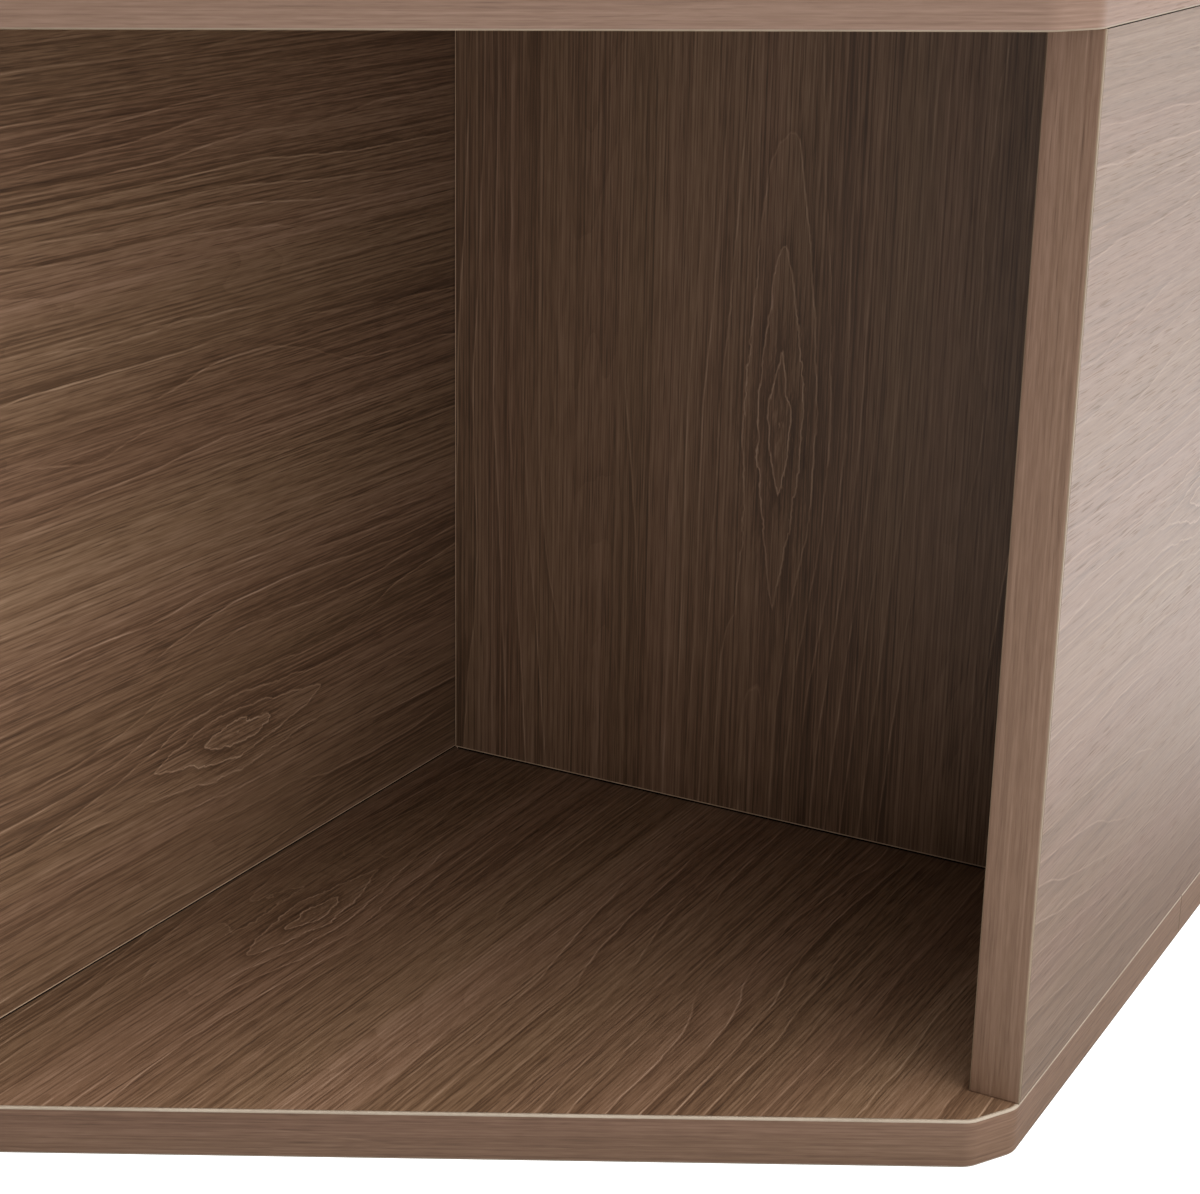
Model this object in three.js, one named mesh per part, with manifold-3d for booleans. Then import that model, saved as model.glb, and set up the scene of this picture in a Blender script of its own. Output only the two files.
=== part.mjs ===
// Hexagonal cube storage unit: a base board and a top board of the same six-sided outline, held apart by
// five upright boards that divide the space between them into four open compartments.
//
// Frame: millimetres, +Z up, origin on the floor under the centre of the unit.
//   +Y runs along the long divider, from the corner at the front to the corner at the back.
//   +X runs along the cross dividers, to the flat right-hand side that side_panel_right closes.
//
// Every board is laminated particle board. Its visible edges carry a thin plastic band, glued on, whose
// long arrises are trimmed to a bevel. Screws come up through the base, cam locks pull the top down, and
// plain dowels locate the cross dividers.
import * as THREE from "three";
import { mergeVertices } from "three/addons/utils/BufferGeometryUtils.js";
import Module from "manifold-3d";

// ---------------------------------------------------------------- driving dimensions

const BOARD = 18; // thickness of every board
const SIDE = 400; // side of the sharp hexagon, so 800 across its corners
const CLEAR_HEIGHT = 360; // from base to top inside a compartment
const GLIDE_HEIGHT = 4; // the feet under the base
const CORNER_CUT = 11; // length cut from each side at a corner of the top and base
const CORNER_EASE = 11; // radius that rounds both ends of a corner cut
const SIDE_PANEL_SETBACK = 13.5; // a side panel's end, from the sharp corner
const DIVIDER_SETBACK = 8; // the long divider's end, from the sharp corner

const BAND = 1.2; // edge band thickness
const BAND_BEVEL = 1; // bevel along the arrises of the top's and base's bands
const END_BEVEL = 0.5; // bevel along the arrises of an upright's band
const GLUE_LINE = 0.1; // between a band and its board
const BUTT_GAP = 0.3; // where one upright meets the face of another
const SEAM_Y = 10; // where the two ends of a wrapped band meet, on the right-hand side
const SEAM_GAP = 0.3;

const CAM_DROP = 34; // centre of a cam lock below the top board
const CAM_RADIUS = 7.2;
const CAM_LENGTH = 12.5;
const CAM_BORE = 7.5;
const CAM_BORE_DEPTH = 13;
const BOLT_BORE = 4;
const BOLT_THREAD_DEPTH = 11; // into the top board

const SCREW_LENGTH = 50;
const SCREW_HEAD_RADIUS = 4.9;
const SCREW_SHANK_RADIUS = 3.4;
const SCREW_THREAD_RADIUS = 2.9;
const SCREW_RECESS = 0.6; // the head sits this far inside the base

const DOWEL_RADIUS = 4;
const DOWEL_IN_FACE = 11; // depth in the face of a side panel
const DOWEL_IN_END = 20; // depth in the end of a cross divider
const DOWEL_SPREAD = 180; // between the upper and the lower dowel

const GLIDE_RADIUS = 14;
const GLIDE_CIRCLE = 340; // from the centre to each corner's glide
const SPIGOT_RADIUS = 2.4;
const SPIGOT_LENGTH = 12; // up into the base

const CLEARANCE = 0.3; // round a fitting in its hole
const OVERRUN = 2; // how far a cutter passes the face that it opens
const ROUND = 12; // facets of a round piece or hole
const EASE_STEPS = 2; // facets of an eased corner

// ---------------------------------------------------------------- derived dimensions

const APOTHEM = (SIDE * Math.sqrt(3)) / 2;
const EDGE_TURN = Math.PI / 6; // from one edge of the cut outline to the next
const BASE_BOTTOM = GLIDE_HEIGHT;
const BASE_TOP = BASE_BOTTOM + BOARD;
const TOP_BOTTOM = BASE_TOP + CLEAR_HEIGHT;
const UPRIGHT_MIDDLE = (BASE_TOP + TOP_BOTTOM) / 2;
const SIDE_PANEL_X = APOTHEM - BOARD / 2;
const SIDE_PANEL_LENGTH = SIDE - 2 * SIDE_PANEL_SETBACK;
const DIVIDER_LENGTH = 2 * (SIDE - DIVIDER_SETBACK);
const CROSS_START = BOARD / 2 + BUTT_GAP;
const CROSS_END = APOTHEM - BOARD - BUTT_GAP;
const CROSS_MIDDLE = (CROSS_START + CROSS_END) / 2;
const CAM_Z = TOP_BOTTOM - CAM_DROP;

// ---------------------------------------------------------------- materials

const laminate = new THREE.MeshStandardMaterial({ color: 0x6b4f3d, roughness: 0.55, metalness: 0 });
const band = new THREE.MeshStandardMaterial({ color: 0x7d6252, roughness: 0.5, metalness: 0 });
const zinc = new THREE.MeshStandardMaterial({ color: 0xb4b6b8, roughness: 0.35, metalness: 1 });
const beech = new THREE.MeshStandardMaterial({ color: 0xc9a67c, roughness: 0.75, metalness: 0 });
const nylon = new THREE.MeshStandardMaterial({ color: 0x2c2622, roughness: 0.6, metalness: 0 });

// ---------------------------------------------------------------- solids

const wasm = await Module();
wasm.setup();

// A closed three.js geometry as a manifold-3d solid.
function solidFrom(geometry) {
  const bare = geometry.clone();
  bare.deleteAttribute("normal");
  bare.deleteAttribute("uv");
  const merged = mergeVertices(bare, 1e-4);
  const vertProperties = merged.attributes.position.array;
  const triVerts = new Uint32Array(merged.index.array);
  return new wasm.Manifold(new wasm.Mesh({ numProp: 3, vertProperties, triVerts }));
}

function geometryFrom(solid) {
  const { vertProperties, triVerts } = solid.getMesh();
  const geometry = new THREE.BufferGeometry();
  geometry.setAttribute("position", new THREE.BufferAttribute(new Float32Array(vertProperties), 3));
  geometry.setIndex(new THREE.BufferAttribute(new Uint32Array(triVerts), 1));
  geometry.computeVertexNormals();
  return geometry;
}

// geometry with each of the cutters taken out of it.
function cutAway(geometry, cutters) {
  const cutOne = (left, cutter) => left.subtract(solidFrom(cutter));
  return geometryFrom(cutters.reduce(cutOne, solidFrom(geometry)));
}

// A cylinder from one point to another, both in the unit's frame, as a cutter for a round hole.
function drill(radius, from, to) {
  const start = new THREE.Vector3(...from);
  const along = new THREE.Vector3(...to).sub(start);
  const cutter = new THREE.CylinderGeometry(radius, radius, along.length(), ROUND);
  const axis = new THREE.Vector3(0, 1, 0);
  cutter.applyQuaternion(new THREE.Quaternion().setFromUnitVectors(axis, along.clone().normalize()));
  const middle = start.addScaledVector(along, 0.5);
  return cutter.translate(middle.x, middle.y, middle.z);
}

// A solid of revolution about Z from [radius, z] pairs, listed from its bottom to its top.
function turned(profile) {
  const points = profile.map(([radius, z]) => new THREE.Vector2(radius, z));
  return new THREE.LatheGeometry(points, ROUND).rotateX(Math.PI / 2);
}

function place(name, geometry, material, position = [0, 0, 0]) {
  const mesh = new THREE.Mesh(geometry, material);
  mesh.name = name;
  mesh.position.set(...position);
  return mesh;
}

// ---------------------------------------------------------------- outline of the top and base

// The twelve corners that the outline would have with sharp ends to its corner cuts, moved inwards by inset.
// Its edges face every 30 degrees: the right-hand side, the cut across the next corner, and so on.
function sharpCorners(inset) {
  const reach = (edge) => (edge % 2 === 0 ? APOTHEM : SIDE - CORNER_CUT / 2) - inset;
  return Array.from({ length: 12 }, (_, i) => {
    const before = i * EDGE_TURN;
    const after = before + EDGE_TURN;
    const [near, far] = [reach(i), reach(i + 1)];
    const x = (near * Math.sin(after) - far * Math.sin(before)) / Math.sin(EDGE_TURN);
    const y = (far * Math.cos(before) - near * Math.cos(after)) / Math.sin(EDGE_TURN);
    return new THREE.Vector2(x, y);
  });
}

// The outline moved inwards by inset, anticlockwise from the back end of the right-hand side, with an arc
// of radius CORNER_EASE at each of its corners.
function outline(inset) {
  const radius = CORNER_EASE - inset;
  return sharpCorners(CORNER_EASE).flatMap((centre, i) =>
    Array.from({ length: EASE_STEPS + 1 }, (_, k) => {
      const angle = (i + k / EASE_STEPS) * EDGE_TURN;
      return new THREE.Vector2(radius, 0).rotateAround(new THREE.Vector2(), angle).add(centre);
    }),
  );
}

function hexagonBoard() {
  const shape = new THREE.Shape(outline(BAND + GLUE_LINE));
  return new THREE.ExtrudeGeometry(shape, { depth: BOARD, bevelEnabled: false });
}

// One strip wrapped round the outline, with bevelled arrises and a butt joint at SEAM_Y.
function wrappedBand() {
  const section = [
    [0, BAND_BEVEL],
    [0, BOARD - BAND_BEVEL],
    [BAND_BEVEL, BOARD],
    [BAND, BOARD],
    [BAND, 0],
    [BAND_BEVEL, 0],
  ];
  const rails = section.map(([inset, z]) => {
    const seam = (y) => new THREE.Vector2(APOTHEM - inset, y);
    const walk = [seam(SEAM_Y + SEAM_GAP / 2), ...outline(inset), seam(SEAM_Y - SEAM_GAP / 2)];
    return walk.map(({ x, y }) => new THREE.Vector3(x, y, z));
  });
  const stations = rails[0].length;
  const positions = rails.flat().flatMap((p) => [p.x, p.y, p.z]);
  const at = (rail, station) => (rail % rails.length) * stations + station;
  const index = [];
  for (let rail = 0; rail < rails.length; rail++) {
    for (let s = 0; s < stations - 1; s++) {
      const quad = [at(rail, s), at(rail, s + 1), at(rail + 1, s + 1), at(rail + 1, s)];
      index.push(quad[0], quad[1], quad[2], quad[0], quad[2], quad[3]);
    }
  }
  for (let rail = 1; rail < rails.length - 1; rail++) {
    index.push(at(0, 0), at(rail, 0), at(rail + 1, 0));
    index.push(at(0, stations - 1), at(rail + 1, stations - 1), at(rail, stations - 1));
  }
  const geometry = new THREE.BufferGeometry();
  geometry.setAttribute("position", new THREE.Float32BufferAttribute(positions, 3));
  geometry.setIndex(index);
  return geometry;
}

// ---------------------------------------------------------------- where the fittings go

// A cam lock's bore opens on the face of its upright that looks along [towards]. None opens on a divider's
// face in the front right compartment.
const camLocks = [
  { name: "long_divider_front", at: [0, -200], towards: [-1, 0] },
  { name: "long_divider_back", at: [0, 200], towards: [-1, 0] },
  { name: "side_panel_right_front", at: [SIDE_PANEL_X, -120], towards: [-1, 0] },
  { name: "side_panel_right_back", at: [SIDE_PANEL_X, 120], towards: [-1, 0] },
  { name: "side_panel_left_front", at: [-SIDE_PANEL_X, -120], towards: [1, 0] },
  { name: "side_panel_left_back", at: [-SIDE_PANEL_X, 120], towards: [1, 0] },
  { name: "cross_divider_right", at: [CROSS_MIDDLE, 0], towards: [0, 1] },
  { name: "cross_divider_left", at: [-CROSS_MIDDLE, 0], towards: [0, -1] },
];

const baseScrews = [
  { name: "long_divider_1", at: [0, -290] },
  { name: "long_divider_2", at: [0, -110] },
  { name: "long_divider_3", at: [0, 110] },
  { name: "long_divider_4", at: [0, 290] },
  { name: "side_panel_right_1", at: [SIDE_PANEL_X, -130] },
  { name: "side_panel_right_2", at: [SIDE_PANEL_X, 130] },
  { name: "side_panel_left_1", at: [-SIDE_PANEL_X, -130] },
  { name: "side_panel_left_2", at: [-SIDE_PANEL_X, 130] },
  { name: "cross_divider_right", at: [CROSS_MIDDLE, 0] },
  { name: "cross_divider_left", at: [-CROSS_MIDDLE, 0] },
];

const dowelHeights = [
  { level: "lower", z: UPRIGHT_MIDDLE - DOWEL_SPREAD / 2 },
  { level: "upper", z: UPRIGHT_MIDDLE + DOWEL_SPREAD / 2 },
];
const dowels = dowelHeights.flatMap(({ level, z }) => [
  { name: `centre_${level}`, z, from: -CROSS_START - DOWEL_IN_END, to: CROSS_START + DOWEL_IN_END },
  { name: `right_${level}`, z, from: CROSS_END - DOWEL_IN_END, to: CROSS_END + BUTT_GAP + DOWEL_IN_FACE },
  { name: `left_${level}`, z, from: -CROSS_END - BUTT_GAP - DOWEL_IN_FACE, to: -CROSS_END + DOWEL_IN_END },
]);

const glides = [
  { name: "centre", at: [0, 0] },
  ...["right_front", "right_back", "back", "left_back", "left_front", "front"].map((name, i) => {
    const angle = ((2 * i - 1) * Math.PI) / 6;
    return { name, at: [GLIDE_CIRCLE * Math.cos(angle), GLIDE_CIRCLE * Math.sin(angle)] };
  }),
];

// ---------------------------------------------------------------- holes for the fittings

// The bore for a cam and the bore that its bolt comes down.
function camHoles({ at: [x, y], towards: [u, v] }) {
  const face = (depth) => [x + u * (BOARD / 2 - depth), y + v * (BOARD / 2 - depth), CAM_Z];
  return [
    drill(CAM_BORE, face(-OVERRUN), face(CAM_BORE_DEPTH)),
    drill(BOLT_BORE, [x, y, CAM_Z], [x, y, TOP_BOTTOM + OVERRUN]),
  ];
}

function boltHole({ at: [x, y] }) {
  const end = TOP_BOTTOM + BOLT_THREAD_DEPTH + CLEARANCE;
  return drill(3 + CLEARANCE, [x, y, TOP_BOTTOM - OVERRUN], [x, y, end]);
}

function screwHole({ at: [x, y] }) {
  const end = BASE_BOTTOM + SCREW_RECESS + SCREW_LENGTH + 1;
  return drill(SCREW_THREAD_RADIUS + CLEARANCE, [x, y, BASE_TOP - OVERRUN], [x, y, end]);
}

// A counterbore for the head, then a clearance hole through the base.
function screwWay({ at: [x, y] }) {
  const seat = BASE_BOTTOM + SCREW_RECESS + 3.8;
  return [
    drill(SCREW_HEAD_RADIUS + CLEARANCE, [x, y, BASE_BOTTOM - OVERRUN], [x, y, seat]),
    drill(SCREW_SHANK_RADIUS + CLEARANCE, [x, y, BASE_BOTTOM], [x, y, BASE_TOP + OVERRUN]),
  ];
}

function spigotHole({ at: [x, y] }) {
  const end = BASE_BOTTOM + SPIGOT_LENGTH + 1;
  return drill(SPIGOT_RADIUS + CLEARANCE, [x, y, BASE_BOTTOM - OVERRUN], [x, y, end]);
}

function dowelHole({ z, from, to }) {
  return drill(DOWEL_RADIUS + CLEARANCE, [from - CLEARANCE, 0, z], [to + CLEARANCE, 0, z]);
}

const on = (list, board) => list.filter(({ name }) => name.startsWith(board));
const uprightHoles = (board) => [
  ...on(camLocks, board).flatMap(camHoles),
  ...on(baseScrews, board).map(screwHole),
];
const dowelHoles = (...sides) => sides.flatMap((side) => on(dowels, side).map(dowelHole));

// ---------------------------------------------------------------- boards

// An upright board, size [x, y] by the clear height, centred at [x, y], with its holes cut.
function upright(name, size, at, cutters) {
  const centre = [at[0], at[1], UPRIGHT_MIDDLE];
  const blank = new THREE.BoxGeometry(size[0], size[1], CLEAR_HEIGHT);
  const moved = cutters.map((cutter) => cutter.translate(-centre[0], -centre[1], -centre[2]));
  return place(name, cutAway(blank, moved), laminate, centre);
}

// The band on the end of an upright that faces along Y. Its outer arrises are bevelled.
function endBand(name, x, endY) {
  const out = Math.sign(endY);
  const half = BOARD / 2;
  const shape = new THREE.Shape([
    new THREE.Vector2(-half, -BAND),
    new THREE.Vector2(half, -BAND),
    new THREE.Vector2(half, -END_BEVEL),
    new THREE.Vector2(half - END_BEVEL, 0),
    new THREE.Vector2(-half + END_BEVEL, 0),
    new THREE.Vector2(-half, -END_BEVEL),
  ]);
  const strip = new THREE.ExtrudeGeometry(shape, { depth: CLEAR_HEIGHT, bevelEnabled: false });
  if (out < 0) strip.rotateZ(Math.PI);
  return place(name, strip, band, [x, endY, BASE_TOP]);
}

// A board that runs along Y, with a band on each of its two ends.
function bandedUpright(name, x, length, cutters) {
  const core = length - 2 * (BAND + GLUE_LINE);
  return [
    upright(name, [BOARD, core], [x, 0], cutters),
    endBand(`${name}_front_band`, x, -length / 2),
    endBand(`${name}_back_band`, x, length / 2),
  ];
}

function baseBoard() {
  const cutters = [...baseScrews.flatMap(screwWay), ...glides.map(spigotHole)];
  const moved = cutters.map((cutter) => cutter.translate(0, 0, -BASE_BOTTOM));
  return place("base_board", cutAway(hexagonBoard(), moved), laminate, [0, 0, BASE_BOTTOM]);
}

function topBoard() {
  const moved = camLocks.map((lock) => boltHole(lock).translate(0, 0, -TOP_BOTTOM));
  return place("top_board", cutAway(hexagonBoard(), moved), laminate, [0, 0, TOP_BOTTOM]);
}

// ---------------------------------------------------------------- fittings

// A cam along Z with its driven face at z = 0. The pocket and slot take the head and neck of a bolt that
// comes in along +Y at the middle of the board.
function camGeometry() {
  const chamfer = 0.4;
  const drum = turned([
    [0, -CAM_LENGTH],
    [CAM_RADIUS, -CAM_LENGTH],
    [CAM_RADIUS, -chamfer],
    [CAM_RADIUS - chamfer, 0],
    [0, 0],
  ]);
  const boltDepth = BOARD / 2;
  const pocket = 7.6;
  const neck = 4.6;
  const headRoom = new THREE.BoxGeometry(pocket, pocket, pocket).translate(0, 0, -boltDepth);
  const neckRoom = new THREE.BoxGeometry(neck, CAM_RADIUS + OVERRUN, neck);
  neckRoom.translate(0, (CAM_RADIUS + OVERRUN) / 2, -boltDepth);
  const driveDepth = 2.4;
  const blades = [
    new THREE.BoxGeometry(6.4, 1.3, 2 * driveDepth),
    new THREE.BoxGeometry(1.3, 6.4, 2 * driveDepth),
  ];
  return cutAway(drum, [headRoom, neckRoom, ...blades]);
}

function camLock({ name, at: [x, y], towards: [u, v] }) {
  const mesh = place(`cam_lock_${name}`, camGeometry(), zinc);
  const facing = new THREE.Matrix4().makeBasis(
    new THREE.Vector3(-v, u, 0),
    new THREE.Vector3(0, 0, 1),
    new THREE.Vector3(u, v, 0),
  );
  mesh.quaternion.setFromRotationMatrix(facing);
  mesh.position.set(x + (u * BOARD) / 2, y + (v * BOARD) / 2, CAM_Z);
  return mesh;
}

// From the head inside the cam up to the thread in the top board, with z = 0 at the joint.
function camBolt({ name, at }) {
  const bolt = turned([
    [0, -CAM_DROP - 2],
    [3.2, -CAM_DROP - 2],
    [3.2, -CAM_DROP + 1],
    [1.9, -CAM_DROP + 1],
    [1.9, -CAM_DROP + CAM_BORE + 0.5],
    [3.5, -CAM_DROP + CAM_BORE + 0.5],
    [3.5, -0.4],
    [3, -0.4],
    [3, BOLT_THREAD_DEPTH],
    [0, BOLT_THREAD_DEPTH],
  ]);
  return place(`cam_bolt_${name}`, bolt, zinc, [...at, TOP_BOTTOM]);
}

// A countersunk screw with a hexagon socket, its head at z = 0 and its tip up.
function screwGeometry() {
  const body = turned([
    [0, 0],
    [SCREW_HEAD_RADIUS, 0],
    [SCREW_HEAD_RADIUS, 0.8],
    [SCREW_SHANK_RADIUS, 3.4],
    [SCREW_SHANK_RADIUS, BOARD - 1],
    [SCREW_THREAD_RADIUS, BOARD - 1],
    [SCREW_THREAD_RADIUS, SCREW_LENGTH - 5],
    [1, SCREW_LENGTH],
    [0, SCREW_LENGTH],
  ]);
  const socketRadius = 2.3;
  const socketDepth = 3;
  const socket = new THREE.CylinderGeometry(socketRadius, socketRadius, 2 * socketDepth, 6);
  return cutAway(body, [socket.rotateX(Math.PI / 2)]);
}

function baseScrew({ name, at }) {
  return place(`base_screw_${name}`, screwGeometry(), zinc, [...at, BASE_BOTTOM + SCREW_RECESS]);
}

function dowel({ name, z, from, to }) {
  const length = to - from;
  const chamfer = 1;
  const pin = turned([
    [0, 0],
    [DOWEL_RADIUS - chamfer, 0],
    [DOWEL_RADIUS, chamfer],
    [DOWEL_RADIUS, length - chamfer],
    [DOWEL_RADIUS - chamfer, length],
    [0, length],
  ]);
  return place(`dowel_${name}`, pin.rotateY(Math.PI / 2), beech, [from, 0, z]);
}

// A moulded foot with a spigot that pushes up into the base. z = 0 is the floor.
function glide({ name, at }) {
  const foot = turned([
    [0, 0],
    [GLIDE_RADIUS - 1.5, 0],
    [GLIDE_RADIUS, 1.5],
    [GLIDE_RADIUS, GLIDE_HEIGHT],
    [SPIGOT_RADIUS, GLIDE_HEIGHT],
    [SPIGOT_RADIUS, GLIDE_HEIGHT + SPIGOT_LENGTH],
    [0, GLIDE_HEIGHT + SPIGOT_LENGTH],
  ]);
  return place(`glide_${name}`, foot, nylon, [...at, 0]);
}

// ---------------------------------------------------------------- the unit

const crossSize = [CROSS_END - CROSS_START, BOARD];
const unit = new THREE.Group();
unit.add(
  baseBoard(),
  place("base_edge_band", wrappedBand(), band, [0, 0, BASE_BOTTOM]),
  topBoard(),
  place("top_edge_band", wrappedBand(), band, [0, 0, TOP_BOTTOM]),
  ...bandedUpright("long_divider", 0, DIVIDER_LENGTH, [
    ...uprightHoles("long_divider"),
    ...dowelHoles("centre"),
  ]),
  ...bandedUpright("side_panel_right", SIDE_PANEL_X, SIDE_PANEL_LENGTH, [
    ...uprightHoles("side_panel_right"),
    ...dowelHoles("right"),
  ]),
  ...bandedUpright("side_panel_left", -SIDE_PANEL_X, SIDE_PANEL_LENGTH, [
    ...uprightHoles("side_panel_left"),
    ...dowelHoles("left"),
  ]),
  upright("cross_divider_right", crossSize, [CROSS_MIDDLE, 0], [
    ...uprightHoles("cross_divider_right"),
    ...dowelHoles("centre", "right"),
  ]),
  upright("cross_divider_left", crossSize, [-CROSS_MIDDLE, 0], [
    ...uprightHoles("cross_divider_left"),
    ...dowelHoles("centre", "left"),
  ]),
  ...camLocks.flatMap((lock) => [camLock(lock), camBolt(lock)]),
  ...baseScrews.map(baseScrew),
  ...dowels.map(dowel),
  ...glides.map(glide),
);

export default unit;
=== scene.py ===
"""The looks of the hexagonal storage unit: fine boards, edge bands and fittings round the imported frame."""

import math

import bmesh
import bpy
from mathutils import Matrix, Vector


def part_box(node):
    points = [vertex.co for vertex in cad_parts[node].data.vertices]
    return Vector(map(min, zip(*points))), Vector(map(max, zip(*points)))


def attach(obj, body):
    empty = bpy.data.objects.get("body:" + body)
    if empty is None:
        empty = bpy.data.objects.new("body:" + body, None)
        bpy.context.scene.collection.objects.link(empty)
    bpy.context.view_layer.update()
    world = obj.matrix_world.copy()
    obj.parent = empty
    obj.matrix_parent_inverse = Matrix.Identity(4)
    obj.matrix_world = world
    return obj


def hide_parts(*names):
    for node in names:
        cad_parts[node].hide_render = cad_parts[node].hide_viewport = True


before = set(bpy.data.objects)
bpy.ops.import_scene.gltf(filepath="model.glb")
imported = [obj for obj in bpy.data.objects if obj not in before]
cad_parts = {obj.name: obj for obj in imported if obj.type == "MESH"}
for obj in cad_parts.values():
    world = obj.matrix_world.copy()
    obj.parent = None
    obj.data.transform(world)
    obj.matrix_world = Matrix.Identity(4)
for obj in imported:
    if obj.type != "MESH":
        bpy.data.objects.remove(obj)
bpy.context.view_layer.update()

MM = 0.001

# ---------------------------------------------------------------- sizes, in metres

BOARD = 18 * MM
BAND = 1.2 * MM  # edge band thickness
BASE_ROUND = 0.8 * MM  # rounded arris of the band round the base
TOP_ROUND = 0.65 * MM
END_ROUND = 0.4 * MM  # rounded arris of the bands on the uprights
GLUE_LINE = 0.02 * MM
ARRIS = 0.4 * MM  # trimmed arris of an upright
GAP = 1.0 * MM  # the shadow gap where an upright stands on the base and under the top
HEAD_GAP = 0.12 * MM  # the same between a side panel and the top
GAP_DEPTH = 0.6 * MM
BUTT_GAP = 0.3 * MM  # the same where a cross divider butts against another upright
LIP = 0.5 * MM  # the trimmed lip of the laminate beside a gap, coloured with a painted highlight
LIP_DROP = 0.05 * MM
CORNER_EASE = 11 * MM  # radius of the outline's corners
EASE_STEPS = 8  # facets in each of its arcs
SEAM_Y = 10 * MM  # where the two ends of a wrapped band meet, on the right-hand side
SEAM_GAP = 0.6 * MM
END_SUPPORT = 0.5 * MM  # how far from a band's ends the extra station lies that keeps its long faces flat
FACETS = 48  # round a bore or a turned fitting

CAM_BORE = 7.5 * MM
CAM_BORE_DEPTH = 13 * MM
CAM_RADIUS = 7.2 * MM
CAM_LENGTH = 12.5 * MM
BOLT_BORE = 4 * MM
THREAD_BORE = 3.3 * MM
HEAD_BORE = 5.2 * MM
HEAD_BORE_DEPTH = 4.4 * MM
SHANK_BORE = 3.7 * MM
SCREW_BORE = 3.2 * MM
DOWEL_BORE = 4.3 * MM
SPIGOT_BORE = 2.7 * MM
CLEARANCE = 0.3 * MM

# ---------------------------------------------------------------- nodes in a shader


class Tree:
    """One node tree, with a short call for each kind of node that the materials use."""

    def __init__(self, tree):
        self.tree = tree
        self.tree.nodes.clear()

    def put(self, kind, inputs=None, **settings):
        node = self.tree.nodes.new(kind)
        for key, value in settings.items():
            setattr(node, key, value)
        for key, value in (inputs or {}).items():
            if isinstance(value, bpy.types.NodeSocket):
                self.tree.links.new(value, node.inputs[key])
            else:
                node.inputs[key].default_value = value
        return node

    def math(self, operation, *values, clamp=False):
        inputs = dict(enumerate(values))
        return self.put("ShaderNodeMath", inputs, operation=operation, use_clamp=clamp).outputs[0]

    def add(self, *values):
        total = values[0]
        for value in values[1:]:
            total = self.math("ADD", total, value)
        return total

    def times(self, a, b):
        return self.math("MULTIPLY", a, b)

    def stretch(self, vector, factors):
        return self.put("ShaderNodeVectorMath", {0: vector, 1: factors}, operation="MULTIPLY").outputs[0]

    def shift(self, vector, offset):
        return self.put("ShaderNodeVectorMath", {0: vector, 1: offset}, operation="ADD").outputs[0]

    def noise(self, vector, factors, detail=2.0, roughness=0.5, distortion=0.0):
        """Noise about zero, from -0.5 to 0.5, with its own scale along each of the vector's axes."""
        inputs = {
            "Vector": self.stretch(vector, factors),
            "Scale": 1.0,
            "Detail": detail,
            "Roughness": roughness,
            "Distortion": distortion,
        }
        value = self.put("ShaderNodeTexNoise", inputs, noise_dimensions="3D").outputs[0]
        return self.math("SUBTRACT", value, 0.5)

    def ramp(self, value, stops, interpolation="LINEAR"):
        node = self.put("ShaderNodeValToRGB", {0: value})
        node.color_ramp.interpolation = interpolation
        elements = node.color_ramp.elements
        while len(elements) < len(stops):
            elements.new(0.5)
        for element, (position, colour) in zip(elements, stops):
            element.position = position
            element.color = (*colour, 1)
        return node.outputs[0]

    def span(self, value, from_low, from_high, to_low=0.0, to_high=1.0):
        """value mapped from one span to another, clamped."""
        inputs = {"Value": value, 1: from_low, 2: from_high, 3: to_low, 4: to_high}
        return self.put("ShaderNodeMapRange", inputs, interpolation_type="SMOOTHSTEP").outputs[0]

    def blend(self, factor, a, b, mode="MIX"):
        node = self.put("ShaderNodeMix", data_type="RGBA", blend_type=mode)
        for socket, value in ((node.inputs[0], factor), (node.inputs[6], a), (node.inputs[7], b)):
            if isinstance(value, bpy.types.NodeSocket):
                self.tree.links.new(value, socket)
            elif isinstance(value, tuple):
                socket.default_value = (*value, 1)
            else:
                socket.default_value = value
        return node.outputs[2]

    def bump(self, height, distance, strength=1.0, normal=None):
        inputs = {"Height": height, "Distance": distance, "Strength": strength}
        if normal is not None:
            inputs["Normal"] = normal
        return self.put("ShaderNodeBump", inputs).outputs[0]

    def surface(self, **inputs):
        shader = self.put("ShaderNodeBsdfPrincipled", {k.replace("_", " "): v for k, v in inputs.items()})
        self.put("ShaderNodeOutputMaterial", {"Surface": shader.outputs[0]})


def new_material(name):
    material = bpy.data.materials.new(name)
    material.use_nodes = True
    return material, Tree(material.node_tree)


# ---------------------------------------------------------------- wood decor

# The decor is drawn in grain coordinates, which each mesh carries in its "grain" attribute: metres along
# the grain, metres across it from the figure's eye, and the number of the sheet that the face is cut from.

EYE_LENGTH = 0.060  # how far the closed rings of the eye reach along the grain
EYE_WIDTH = 0.014  # half their reach across it
POINTEDNESS = 1.4  # 2 gives oval rings, and 1 gives lens shapes
RINGS_PER_METRE = 90.0
EYE_RINGS = 2.2  # how many more rings there are close round the eye
EYE_SPREAD = 0.012
PROBE = 0.2 * MM  # step across the grain used to measure how close the rings are


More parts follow.
